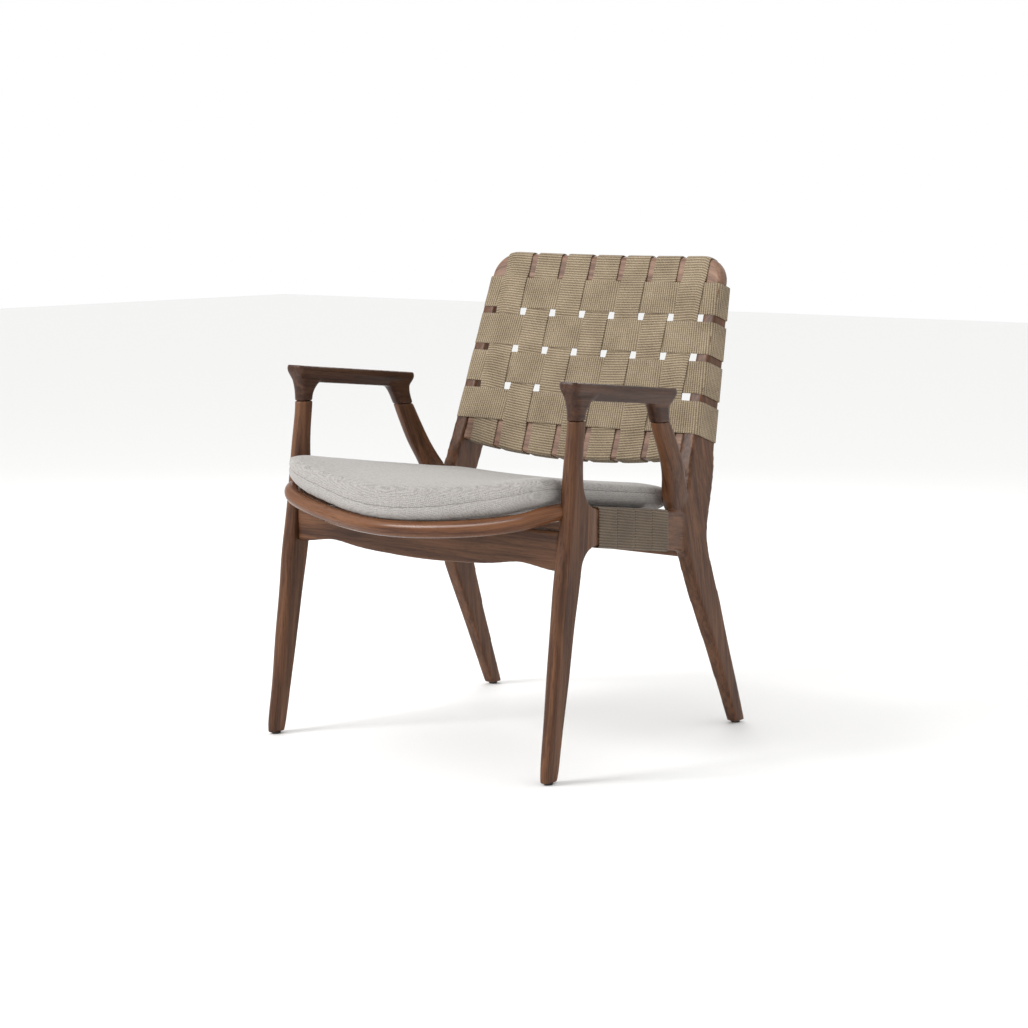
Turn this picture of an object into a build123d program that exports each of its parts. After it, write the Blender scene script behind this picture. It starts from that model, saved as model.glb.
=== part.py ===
from build123d import *
import math
import os

# An armchair of solid walnut with a woven webbing back, a slung webbing seat and a loose
# cushion. Lengths are millimetres. The chair faces -Y and its left and right halves mirror in
# the plane x = 0. While it is being built, y = 0 runs through the front glides; every piece is
# moved by -middle_depth when it is written, so that the origin is centred under the chair.

# ------------------------------------------------------------------ driving dimensions
middle_depth = 263.6          # from the front glides back to the middle of the overall depth

# glides
glide_high = 3.0              # how far the glides lift the wood off the floor
glide_wide = 16.0
glide_shank = 4.0
glide_shank_long = 12.0
glide_places = [(300.3, -2.0), (277.5, 572.5)]     # front and rear, on the +X side

# front legs
front_leg_out = 311.0         # outer face of the front leg, from the middle of the chair
arm_joint_high = 577.0        # joint between front leg and arm
ear_end = 117.0               # depth at which the leg's ear meets the side rail

# rear legs, which carry on upwards as the posts of the back
rear_leg_out = 289.0          # outer face at the floor
post_base = 500.0             # height from which the post is straight, up to its top
post_out = 268.6              # outer face at that height
post_lean = 0.045             # how far the post leans in for each millimetre above it
rear_leg_thick = 26.5
back_lean = 19.1              # degrees from the vertical, front face of the back
back_foot_y = 449.0           # a point on the front face of the back
back_foot_z = 514.0
post_top = 277.0              # up the slope from that point to the top rail's joint
back_top = 330.0              # up the slope to the top of the top rail
post_deep_low = 64.5          # depth of the post at the foot of the back
post_deep_top = 32.0          # and at its joint with the top rail

# side rails, apron, rear rail
rail_start = ear_end
rail_end = 402.0
rail_out_start = 307.6        # outer face at the front leg
rail_out_end = 280.0          # outer face at the rear leg
rail_thick = 24.0
rail_top_start = 433.5
rail_top_end = 395.5
rail_low_start = 370.5
rail_low_end = 327.5

# front bar that carries the front of the cushion
bar_wide = 28.0

# strut between the hip of the rear leg and the arm
strut_joint_high = 556.0

# armrest
arm_slope = 0.0986            # fall of the top for each millimetre of depth
arm_front = 49.0
arm_back = 345.0
arm_front_high = 640.5        # top surface at arm_front
arm_wide_front = 40.0
arm_wide_back = 37.0
arm_mid_front = 297.0         # middle of the arm's width, from the middle of the chair
arm_mid_back = 289.5
arm_lip = 12.0
arm_deep = 28.0

# webbing
webbing_thick = 2.2
webbing_gap = 0.15            # air left between two pieces that lie against each other
upright_count = 7
upright_wide = 52.5
upright_pitch = 66.0
cross_count = 4
cross_wide = 57.5
cross_low = 10.6              # lower edge of the lowest cross strap, up the slope
cross_pitch = 70.9
seat_strap_count = 4
seat_strap_first = 120.5
seat_strap_pitch = 56.3
seat_strap_wide = 55.3

# back rails
back_bow = 9.0                # how far the middle of the back bows rearwards
top_rail_high = 48.0
top_rail_deep = 26.0
top_rail_front = 1.2          # its front face, behind the front face of the posts
low_rail_top = 14.0
low_rail_low_mid = -46.0
low_rail_low_end = -29.0
low_rail_deep = 24.0
low_rail_front = 2.0

# cushion, staples and dowels
cover_thick = 2.0
cushion_gap = 1.6             # air between the cushion and the webbing under it
staple_wide = 12.0
staple_wire = 1.1
staple_leg = 7.0
dowel_wide = 9.0
dowel_long = 34.0
dowel_fit = 0.1               # the hole's radius is larger by this

lean_sin = math.sin(math.radians(back_lean))
lean_cos = math.cos(math.radians(back_lean))
back_half = post_out - post_lean * (back_foot_z - post_base) - rear_leg_thick


# ------------------------------------------------------------------ helpers
def run(points):
    """One stretch of an outline: straight between two points, smooth through more."""
    if len(points) == 2:
        return Line(*points)
    return Spline(*points)


def board(runs, low, thick):
    """A board lying in a side-view (y, z) outline, from x = low to x = low + thick."""
    face = make_face([run(points) for points in runs])
    return extrude(Plane.YZ.offset(low) * face, thick)


def on_back(up, behind):
    """The (y, z) place of a point up the slope of the back and behind its front face."""
    return (back_foot_y + up * lean_sin + behind * lean_cos,
            back_foot_z + up * lean_cos - behind * lean_sin)


def back_frame():
    """The back's own frame: X stays, Y goes rearwards, Z goes up the slope."""
    return Location((0, back_foot_y, back_foot_z), (-back_lean, 0, 0))


def bow(x):
    """How far the back stands behind its ends at a distance x from the middle."""
    return back_bow * (1 - (x / back_half) ** 2)


def section(height, front, back, inner, outer, nose, heel):
    """A leg's level section: round corners, larger in front (nose) than behind (heel)."""
    corners = Polyline((inner, front), (outer, front), (outer, back), (inner, back), close=True)
    face = make_face(corners)
    middle = (front + back) / 2
    fore = [v for v in face.vertices() if v.Y < middle]
    face = fillet(fore, nose)
    aft = [v for v in face.vertices() if v.Y > back - 1]
    face = fillet(aft, heel)
    return Pos(0, 0, height) * face


def rail_out(depth):
    """Outer face of the side rail at a given depth."""
    part_way = (depth - rail_start) / (rail_end - rail_start)
    return rail_out_start + part_way * (rail_out_end - rail_out_start)


def rail_top(depth):
    part_way = (depth - rail_start) / (rail_end - rail_start)
    return rail_top_start + part_way * (rail_top_end - rail_top_start)


def rail_low(depth):
    part_way = (depth - rail_start) / (rail_end - rail_start)
    return rail_low_start + part_way * (rail_low_end - rail_low_start)


def rear_leg_face(height):
    """Outer face of the back post at a given height above post_base."""
    return post_out - post_lean * (height - post_base)


def peg(start, end, wide=dowel_wide):
    """A round peg from start to end."""
    axis = Vector(*end) - Vector(*start)
    return Plane(origin=start, z_dir=axis) * extrude(Circle(wide / 2), axis.length)


def mirrored(shape):
    return mirror(shape, about=Plane.YZ)


# ------------------------------------------------------------------ front leg
def front_leg():
    """Tapered leg, oval towards the arm, with an ear behind it that takes the side rail."""
    #         height, front, back, inner, outer, nose, heel
    levels = [(glide_high, -17.5, 13.5, 292.3, 308.3, 7, 5),
              (14, -17.8, 16, 291.6, 309, 8, 5),
              (50, -12.8, 21, 289.2, 310, 9, 4),
              (137, -0.7, 36.1, 286.8, 310.8, 10, 4),
              (217, 9.5, 49.5, 285, front_leg_out, 11, 3.5),
              (296, 18.8, 65, 284.5, front_leg_out, 11.5, 3.5),
              (360, 29.2, 76, 284.3, front_leg_out, 11.5, 3.5),
              (410, 37.5, 80, 284.2, 310.8, 11.5, 3.5),
              (460, 43.3, 80.5, 284, 310.2, 11.5, 6),
              (515, 49.8, 82, 284, 309.2, 11.5, 9),
              (arm_joint_high, 57.5, 88.8, 284, 309, 11.5, 10.5)]
    leg = loft([section(*level) for level in levels])
    ear = board([[(62, 292), (70, 334), (83, 361), (103, 371)],
                 [(103, 371), (ear_end, 373)],
                 [(ear_end, 373), (ear_end, 431)],
                 [(ear_end, 431), (106, 435.5)],
                 [(106, 435.5), (91, 443), (82, 457), (74, 478), (66, 506)],
                 [(66, 506), (56, 506)],
                 [(56, 506), (45, 292)],
                 [(45, 292), (62, 292)]], 284.6, front_leg_out - 285)
    toe_in = Polyline((260, 40), (rail_out(80) + 1.5, 40), (rail_out(80) + 1.5, 80),
                      (rail_out(ear_end), ear_end), (rail_out(ear_end), 130), (260, 130),
                      close=True)
    ear = ear & extrude(make_face(toe_in), 600)
    return leg + ear


# ------------------------------------------------------------------ rear leg and back post
def post_deep(up):
    """Depth of the back post at a distance up the slope of the back."""
    part_way = up / post_top
    return post_deep_low + part_way * (post_deep_top - post_deep_low)


def rear_leg():
    """Leg, hip and back post in one board that leans in towards the top."""
    post_back = [on_back(0, post_deep(0)), on_back(post_top, post_deep(post_top))]
    outline = [[(587, glide_high), (573, 42), (558.7, 80), (528.5, 160), (500.8, 240),
                (478.6, 301), (470.5, 345), (480.5, 389), (498.8, 440), post_back[0]],
               post_back,
               [post_back[-1], on_back(post_top, 0)],
               [on_back(post_top, 0), on_back(4, 0)],
               [on_back(4, 0), (440, 490), (432, 466), (428.5, 450)],
               [(428.5, 450), (rail_end, 409)],
               [(rail_end, 409), (rail_end, 325.5)],
               [(rail_end, 325.5), (410, 317), (419, 296)],
               [(419, 296), (443, 240), (483, 160), (522.2, 80), (559.5, glide_high)],
               [(559.5, glide_high), (587, glide_high)]]
    leg = board(outline, 200, 120)
    face = [(rear_leg_out, 0), (288.5, 230), (284.5, 330), (278.5, 405), (273.2, 455),
            (post_out, post_base)]
    top = 850.0
    top_x = rear_leg_face(top)
    outer = Spline(*face, tangents=[(0, 1), (-post_lean, 1)])
    thick = rear_leg_thick
    inner_face = [(rear_leg_out - 22, 0), (288.5 - thick, 230), (284.5 - thick, 330),
                  (278.5 - thick, 405), (273.2 - thick, 455), (post_out - thick, post_base)]
    inner = Spline(*inner_face, tangents=[(0, 1), (-post_lean, 1)])
    slab = make_face([outer, Line(face[-1], (top_x, top)),
                      Line((top_x, top), (top_x - thick, top)),
                      Line((top_x - thick, top), inner_face[-1]), inner,
                      Line(inner_face[0], face[0])])
    return leg & extrude(Plane.XZ.offset(-700) * slab, 700)


# ------------------------------------------------------------------ arm strut
def arm_strut(leg):
    """Strut that rises from the hip and leans outwards to the arm, with a rounded foot."""
    #         height, front, back, inner, outer, nose, heel
    levels = [(396.5, 381, 401.7, 254, 275, 7, 8),
              (402, 373, 404, 253, 277.5, 10, 9),
              (411, 367, 411, 253, 279.5, 11, 10),
              (425, 363, 416, 254, 281.5, 11.5, 11),
              (440, 358.5, 412, 257, 284.5, 11.5, 11.5),
              (455, 352, 402.5, 262, 288, 11.5, 11.5),
              (471, 344, 393, 266.5, 291.8, 11.5, 11),
              (486, 336.4, 384, 269.3, 294.4, 11.5, 10.5),
              (503, 328, 374, 271, 296, 11.5, 10.5),
              (528, 315.3, 358.8, 271.8, 296.8, 11.5, 10.5),
              (strut_joint_high, 301.3, 341.8, 272.2, 296.8, 11.5, 10.5)]
    rise = loft([section(*level) for level in levels], ruled=True)
    return rise - leg


# ------------------------------------------------------------------ armrest
def armrest():
    """Flat-topped arm with a thin lip, narrowing below, and a neck down to each support."""
    def half(depth):
        part_way = (depth - arm_front) / (arm_back - arm_front)
        middle = arm_mid_front + part_way * (arm_mid_back - arm_mid_front)
        wide = arm_wide_front + part_way * (arm_wide_back - arm_wide_front)
        return middle, wide / 2

    def plan(front, back, trim, corner, height):
        """The arm's outline from above, smaller all round by trim, in its sloping plane."""
        mid_a, half_a = half(front)
        mid_b, half_b = half(back)
        outline = Polyline((mid_a - half_a + trim, front), (mid_a + half_a - trim, front),
                           (mid_b + half_b - trim, back), (mid_b - half_b + trim, back),
                           close=True)
        face = make_face(outline)
        face = fillet(face.vertices(), corner)
        tilt = Pos(0, arm_front, height) * Rot(-math.degrees(math.atan(arm_slope)), 0, 0)
        return tilt * Pos(0, -arm_front, 0) * face

    top = arm_front_high
    lip = loft([plan(arm_front, arm_back, 1.0, 10, top),
                plan(arm_front - 0.5, arm_back + 0.5, 0, 10.5, top - 2.5),
                plan(arm_front, arm_back, 0.6, 10, top - arm_lip)])
    belly = loft([plan(arm_front, arm_back, 0.6, 10, top - arm_lip),
                  plan(arm_front + 2.5, arm_back - 3, 4, 8, top - 18.5),
                  plan(arm_front + 8, arm_back - 9, 8.0, 6, top - arm_deep)])
    #              height, front, back, inner, outer, nose, heel
    neck_levels = [(arm_joint_high, 57.5, 88.8, 284, 309, 11.5, 10.5),
                   (592, 57.5, 91.5, 283.5, 309.6, 11.5, 10.5),
                   (606, 56, 102, 282, 311, 12, 10.5),
                   (616, 53.5, 118, 280.5, 312.5, 12, 10.5)]
    neck = loft([section(*level) for level in neck_levels])
    tail_levels = [(strut_joint_high, 301.3, 341.8, 272.2, 296.8, 11.5, 10.5),
                   (572, 293.5, 336.5, 273.5, 298.3, 11.5, 10.5),
                   (584, 286, 335.5, 274.5, 300, 12, 10.5),
                   (594, 276, 338, 274.5, 302.5, 12, 10.5)]
    tail = loft([section(*level) for level in tail_levels])
    return lip + belly + neck + tail


# ------------------------------------------------------------------ rails of the seat
def side_rail():
    """Side rail of the seat, toed in and falling towards the back."""
    runs = [[(rail_start, rail_low_start), (rail_end, rail_low_end)],
            [(rail_end, rail_low_end), (rail_end, rail_top_end)],
            [(rail_end, rail_top_end), (rail_start, rail_top_start)],
            [(rail_start, rail_top_start), (rail_start, rail_low_start)]]
    tall = board(runs, 200, 150)
    plan = Polyline((rail_out_start, rail_start), (rail_out_end, rail_end),
                    (rail_out_end - rail_thick, rail_end),
                    (rail_out_start - rail_thick, rail_start), close=True)
    rail = tall & extrude(make_face(plan), 600)
    return fillet(rail.edges().filter_by(lambda e: e.length > 200), 5)


def front_apron():
    """Board between the front legs with a gently waved lower edge."""
    end = 286.0
    top = 402.0
    thick = 20.0
    front = 42.0
    wave = [(-end, 336.5), (-248, 339.5), (-205, 344.5), (-160, 339), (-80, 332.5), (0, 330),
            (80, 332.5), (160, 339), (205, 344.5), (248, 339.5), (end, 336.5)]
    face = make_face([Spline(*wave), Line((end, 336.5), (end, top)), Line((end, top), (-end, top)),
                      Line((-end, top), (-end, 336.5))])
    apron = extrude(Plane.XZ.offset(-front) * face, -thick)
    long_edges = apron.edges().filter_by(Axis.X)
    return fillet(long_edges, 3)


def rear_rail():
    """Straight rail between the rear legs, under the back of the seat."""
    low = 314.0
    high = 58.0
    thick = 21.0
    front = 415.0
    end = 268.0
    outline = Polyline((-end, low), (end, low), (end, low + high), (-end, low + high), close=True)
    rail = extrude(Plane.XZ.offset(-front) * make_face(outline), -thick)
    return fillet(rail.edges().filter_by(Axis.X), 4)


def front_bar(wide=bar_wide):
    """Round bent bar that bows forwards and dips, its ends butted to the front legs."""
    half = [(286.5, 60.0, 432.0), (269.0, 3.0, 426.5), (206.0, -15.0, 408.5),
            (112.0, -39.0, 397.5), (42.0, -53.0, 393.5)]
    route = half + [(-x, y, z) for x, y, z in reversed(half)]
    radii = [45.0, 130.0, 400.0, 300.0, 300.0, 400.0, 130.0, 45.0]
    path = FilletPolyline(*route, radius=radii)
    start = Plane(origin=path @ 0, z_dir=path % 0)
    bar = sweep(start * Circle(wide / 2), path=path)
    inside = 2 * 284.0
    return bar & Pos(0, 0, 420) * Box(inside, 300, 200)


# ------------------------------------------------------------------ rails of the back
def back_slab(front, deep, x_half, low, high):
    """A curved slab that follows the bow of the back, in the back's own frame."""
    def arc(behind):
        return ThreePointArc((-x_half, behind + bow(x_half)), (0, behind + bow(0)),
                             (x_half, behind + bow(x_half)))
    near = arc(front)
    far = arc(front + deep)
    sides = [Line(near @ 0, far @ 0), Line(near @ 1, far @ 1)]
    face = make_face([near, far] + sides)
    return Pos(0, 0, low) * extrude(face, high - low)


def back_top_rail():
    """Top rail with both round shoulders, which stand on the tops of the posts."""
    outer = rear_leg_face(back_foot_z + post_top * lean_cos)
    spread = post_lean * (back_top - post_top)
    shoulder = 48.0
    inner = outer - rear_leg_thick
    low = back_top - top_rail_high
    outline = Polyline((-outer, post_top), (-outer + spread, back_top), (outer - spread, back_top),
                       (outer, post_top), (inner, post_top), (inner - 1.5, low),
                       (-inner + 1.5, low), (-inner, post_top), close=True)
    face = make_face(outline)
    face = fillet(face.vertices().filter_by(lambda v: v.Y > back_top - 1), shoulder)
    plate = extrude(Plane.XZ.offset(40) * face, -120)
    rail = plate & back_slab(top_rail_front, top_rail_deep, outer + 12, post_top - 5, back_top + 5)
    rail = fillet(rail.edges().filter_by(lambda e: e.center().Z > back_top - 22
                                         and abs(e.center().X) < 10 and e.length > 300), 9)
    return back_frame() * rail


def low_rail_edge(x):
    """Lower edge of the bottom rail, up the slope."""
    return low_rail_low_mid + (low_rail_low_end - low_rail_low_mid) * (x / back_half) ** 2


def back_bottom_rail():
    """Bottom rail, deeper in the middle, between the posts."""
    end = back_half + 10.0
    edge = low_rail_edge(end)
    outline = [ThreePointArc((-end, edge), (0, low_rail_low_mid), (end, edge)),
               Line((end, edge), (end, low_rail_top)),
               Line((end, low_rail_top), (-end, low_rail_top)),
               Line((-end, low_rail_top), (-end, edge))]
    plate = extrude(Plane.XZ.offset(40) * make_face(outline), -120)
    rail = plate & back_slab(low_rail_front, low_rail_deep, end + 10, -60, 20)
    return back_frame() * rail


# ------------------------------------------------------------------ webbing of the back
weave = (webbing_thick + webbing_gap) / 2      # each strap's swing about the woven sheet
sheet = -(weave + webbing_thick / 2 + webbing_gap)   # the woven sheet, in front of the posts


def band(points, thick):
    """A strap seen edge on: a line of points given an even thickness."""
    count = len(points)
    near, far = [], []
    for i in range(count):
        ahead = Vector(*points[min(i + 1, count - 1)]) - Vector(*points[min(i, count - 2)])
        behind = Vector(*points[max(i, 1)]) - Vector(*points[max(i - 1, 0)])
        ahead = ahead.normalized()
        behind = behind.normalized()
        mitre = Vector(-ahead.Y - behind.Y, ahead.X + behind.X).normalized()
        reach = thick / 2 / mitre.dot(Vector(-ahead.Y, ahead.X))
        place = Vector(*points[i])
        near.append(place + mitre * reach)
        far.append(place - mitre * reach)
    return make_face(Polyline(*near, *reversed(far), close=True))


def in_front(upright, cross):
    """True where this upright strap passes in front of this cross strap."""
    return (upright + cross) % 2 == 1


def upright_middle(upright):
    return (upright - (upright_count - 1) / 2) * upright_pitch


def back_upright(upright):
    """Upright strap: round the bottom rail, through the cross straps, over the top rail."""
    middle = upright_middle(upright)
    clear = webbing_thick / 2 + webbing_gap
    low = low_rail_edge(max(abs(middle) - upright_wide / 2, 0)) - clear
    rear_low = low_rail_front + low_rail_deep + clear
    rear_top = top_rail_front + top_rail_deep + clear
    points = [(rear_low, low_rail_top - 6), (rear_low, low), (low_rail_front - clear, low),
              (low_rail_front - clear, low_rail_top - 8)]
    for cross in range(cross_count):
        start = cross_low + cross * cross_pitch
        swing = -weave if in_front(upright, cross) else weave
        points.append((sheet + swing, start))
        points.append((sheet + swing, start + cross_wide))
    points += [(top_rail_front - clear, back_top - top_rail_high + 9),
               (top_rail_front - clear, back_top + clear), (rear_top, back_top + clear),
               (rear_top, back_top - top_rail_high + 6)]
    strap = extrude(Plane.YZ.offset(-upright_wide / 2) * band(points, webbing_thick),
                    upright_wide)
    turn = math.degrees(math.atan(-2 * back_bow * middle / back_half ** 2))
    return back_frame() * Pos(middle, bow(middle), 0) * Rot(0, 0, turn) * strap


def cross_edge(cross, up):
    """One edge of a cross strap, at its distance up the slope, where the posts are so deep."""
    clear = webbing_thick / 2 + webbing_gap
    deep = post_deep(up) + clear
    outer = rear_leg_face(on_back(up, deep)[1]) + clear
    half = [(outer - rear_leg_thick + 3, deep), (outer, deep), (outer, sheet + weave),
            (outer - rear_leg_thick - clear, sheet + weave)]
    points = [(-x, y) for x, y in half]
    for upright in range(upright_count):
        middle = upright_middle(upright)
        swing = weave if in_front(upright, cross) else -weave
        for x in (middle - upright_wide / 2, middle, middle + upright_wide / 2):
            points.append((x, bow(x) + sheet + swing))
    points += reversed(half)
    return Pos(0, 0, up) * band(points, webbing_thick)


def back_cross(cross):
    """Cross strap: round both tapering posts and through the upright straps."""
    start = cross_low + cross * cross_pitch
    edges = [cross_edge(cross, start), cross_edge(cross, start + cross_wide)]
    return back_frame() * loft(edges, ruled=True)


# ------------------------------------------------------------------ webbing of the seat
def rail_block(grow):
    """The side rail without its round edges, larger on every long side by grow."""
    runs = [[(rail_start, rail_low_start - grow), (rail_end, rail_low_end - grow)],
            [(rail_end, rail_low_end - grow), (rail_end, rail_top_end + grow)],
            [(rail_end, rail_top_end + grow), (rail_start, rail_top_start + grow)],
            [(rail_start, rail_top_start + grow), (rail_start, rail_low_start - grow)]]
    plan = Polyline((rail_out_start + grow, rail_start), (rail_out_end + grow, rail_end),
                    (rail_out_end - rail_thick - grow, rail_end),
                    (rail_out_start - rail_thick - grow, rail_start), close=True)
    return board(runs, 200, 150) & extrude(make_face(plan), 600)


def seat_sag(depth):
    """How far the middle of the slung seat hangs below its sides."""
    return 36.0 - 0.033 * (depth - rail_start)


def seat_strap(number):
    """Cross strap of the seat: slung between the side rails and wrapped round each."""
    front = seat_strap_first + number * seat_strap_pitch
    middle = front + seat_strap_wide / 2
    inner = rail_out(front) - rail_thick
    fall = (rail_top_end - rail_top_start) / (rail_end - rail_start)
    skin = rail_block(webbing_gap + webbing_thick) - rail_block(webbing_gap)
    slab = Pos(0, middle, 400) * Box(800, seat_strap_wide, 400)
    wrap = skin & slab
    end_gap = Pos(inner - 6, middle, rail_low(middle) + 42) * Box(26, 2 * seat_strap_wide, 34)
    wrap = wrap - end_gap
    high = rail_top(front) + webbing_gap + webbing_thick
    low = high - webbing_thick
    sag = seat_sag(middle)
    reach = inner + 2
    face = make_face([ThreePointArc((-reach, high), (0, high - sag), (reach, high)),
                      Line((reach, high), (reach, low)),
                      ThreePointArc((reach, low), (0, low - sag), (-reach, low)),
                      Line((-reach, low), (-reach, high))])
    sling = extrude(Plane.XZ.offset(-front) * face, amount=seat_strap_wide * math.hypot(1, fall),
                    dir=Vector(0, 1, fall))
    sling = (sling & slab) - rail_block(webbing_gap) - mirrored(rail_block(webbing_gap))
    return sling + wrap + mirrored(wrap)


# ------------------------------------------------------------------ cushion
def cushion_slab(inset, bar):
    """The cushion's outer shape, smaller on every side by inset."""
    #          depth, height of the sides' and the middle's lower edge, then of their top
    sections = [(-75, 444, 406, 492, 462),
                (40, 442.5, 405, 487, 459),
                (440, 387, 379, 430, 427)]
    for depth, side_high, mid_high in [(125, 476, 452.5), (235, 459.5, 443), (345, 443, 433)]:
        side_low = rail_top(depth) + webbing_gap + webbing_thick + cushion_gap
        sections.append((depth, side_low, side_low - seat_sag(depth), side_high, mid_high))
    faces = []
    for depth, side_low, mid_low, side_high, mid_high in sorted(sections):
        reach = rail_out(max(depth, rail_start)) - rail_thick + 2
        low = side_low + inset
        high = side_high - inset
        under = ThreePointArc((-reach, low), (0, mid_low + inset), (reach, low))
        over = ThreePointArc((reach, high), (0, mid_high - inset), (-reach, high))
        face = make_face([under, Line((reach, low), (reach, high)), over,
                          Line((-reach, high), (-reach, low))])
        faces.append(Plane.XZ.offset(-depth) * face)
    slab = loft(faces)
    front = (281.0 - inset, 18.0)
    rear = (239.5 - inset, 424.0 - inset)
    outline = [Spline((-front[0], front[1]), (-263 + inset, -1 + inset), (-190, -24 + inset),
                      (-90, -48 + inset), (0, -59 + inset), (90, -48 + inset),
                      (190, -24 + inset), (263 - inset, -1 + inset), front),
               Line(front, rear),
               Line(rear, (-rear[0], rear[1])),
               Line((-rear[0], rear[1]), (-front[0], front[1]))]
    face = make_face(outline)
    face = fillet([v for v in face.vertices() if v.Y > 400], 22)
    plan = extrude(face, 700)
    return (slab & plan) - bar


# ------------------------------------------------------------------ small pieces
def glide(x, y):
    """Domed nylon glide with the pin that holds it in the foot."""
    foot = Pos(x, y, 0) * extrude(Circle(glide_wide / 2), glide_high)
    foot = chamfer(foot.edges().group_by(Axis.Z)[0], 1)
    pin = Pos(x, y, glide_high) * extrude(Circle(glide_shank / 2), glide_shank_long)
    return foot + pin


def staple(place, along, outwards):
    """Wire staple lying on a strap, with its two legs driven through it into the wood."""
    crown = Pos(0, 0, staple_wire / 2) * Box(staple_wide, staple_wire, staple_wire)
    leg = Pos(staple_wide / 2 - staple_wire / 2, 0, -staple_leg / 2)
    wire = crown + leg * Box(staple_wire, staple_wire, staple_leg)
    leg = Pos(staple_wire / 2 - staple_wide / 2, 0, -staple_leg / 2)
    wire = wire + leg * Box(staple_wire, staple_wire, staple_leg)
    return Plane(origin=place, x_dir=along, z_dir=outwards) * wire


def back_staples():
    """One staple at each end of each upright, two at each end of each cross strap."""
    skin = webbing_thick + webbing_gap
    found = []
    for upright in range(upright_count):
        x = upright_middle(upright)
        low = low_rail_front + low_rail_deep + skin + bow(x)
        top = top_rail_front + top_rail_deep + skin + bow(x)
        found.append(staple((x, low, low_rail_top - 15), (1, 0, 0), (0, 1, 0)))
        found.append(staple((x, top, back_top - top_rail_high + 15), (1, 0, 0), (0, 1, 0)))
    taper = (post_deep_top - post_deep_low) / post_top
    for cross in range(cross_count):
        start = cross_low + cross * cross_pitch
        outer = rear_leg_face(on_back(start, post_deep(start))[1])
        for x in (-outer + 13, outer - 13):
            for up in (start + 14, start + cross_wide - 14):
                place = (x, post_deep(up) + skin, up)
                found.append(staple(place, (0, taper, 1), (0, 1, -taper)))
    return [back_frame() * wire for wire in found]


def seat_staples():
    """One staple at each end of each seat strap, on the inner face of the side rails."""
    found = []
    for number in range(seat_strap_count):
        y = seat_strap_first + number * seat_strap_pitch + seat_strap_wide / 2
        x = rail_out(y) - rail_thick - webbing_gap - webbing_thick
        toe = (rail_out_end - rail_out_start) / (rail_end - rail_start)
        wire = staple((x, y, rail_low(y) + 14), (toe, 1, 0), (-1, toe, 0))
        found += [wire, mirrored(wire)]
    return found


def back_peg(start, end, wide=dowel_wide):
    """A peg given in the back's own frame."""
    return back_frame() * peg(start, end, wide)


def dowel_groups(grow):
    """Every dowel on the +X side, by joint; grow is added to the radius to bore its hole."""
    wide = dowel_wide + 2 * grow
    half = dowel_long / 2
    front_x = rail_out_start - rail_thick / 2
    rear_x = rail_out_end - rail_thick / 2
    rear_inner = 257.5
    post_inner = back_half
    post_middle = rear_leg_face(back_foot_z + post_top * lean_cos) - rear_leg_thick / 2
    return {
        "side_rail_dowels":
            [peg((front_x, rail_start - half, z), (front_x, rail_start + half, z), wide)
             for z in (387, 417)] +
            [peg((rear_x, rail_end - half, z), (rear_x, rail_end + half, z), wide)
             for z in (345, 377)],
        "apron_dowels":
            [peg((284.2 - half, 52, z), (284.2 + half, 52, z), wide) for z in (352, 386)],
        "rear_rail_dowels":
            [peg((rear_inner - half, 425.5, z), (rear_inner + half, 425.5, z), wide)
             for z in (329, 357)],
        "back_rail_dowels":
            [back_peg((post_inner - half, 14, up), (post_inner + half, 14, up), wide)
             for up in (-19, -4)] +
            [back_peg((post_middle, 14.5, post_top - half), (post_middle, 14.5, post_top + half),
                      wide)],
        "arm_dowels":
            [peg((296.5, 73, arm_joint_high - half), (296.5, 73, arm_joint_high + half), wide),
             peg((284.5, 329, strut_joint_high - half), (284.5, 314, strut_joint_high + half),
                 wide)],
        "strut_dowels":
            [peg((263.5, 428, 415), (267, 401, 433), wide)],
        "front_bar_dowels":
            [peg((276.5, 27.5, 429), (293, 75, 433), wide)],
    }


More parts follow.
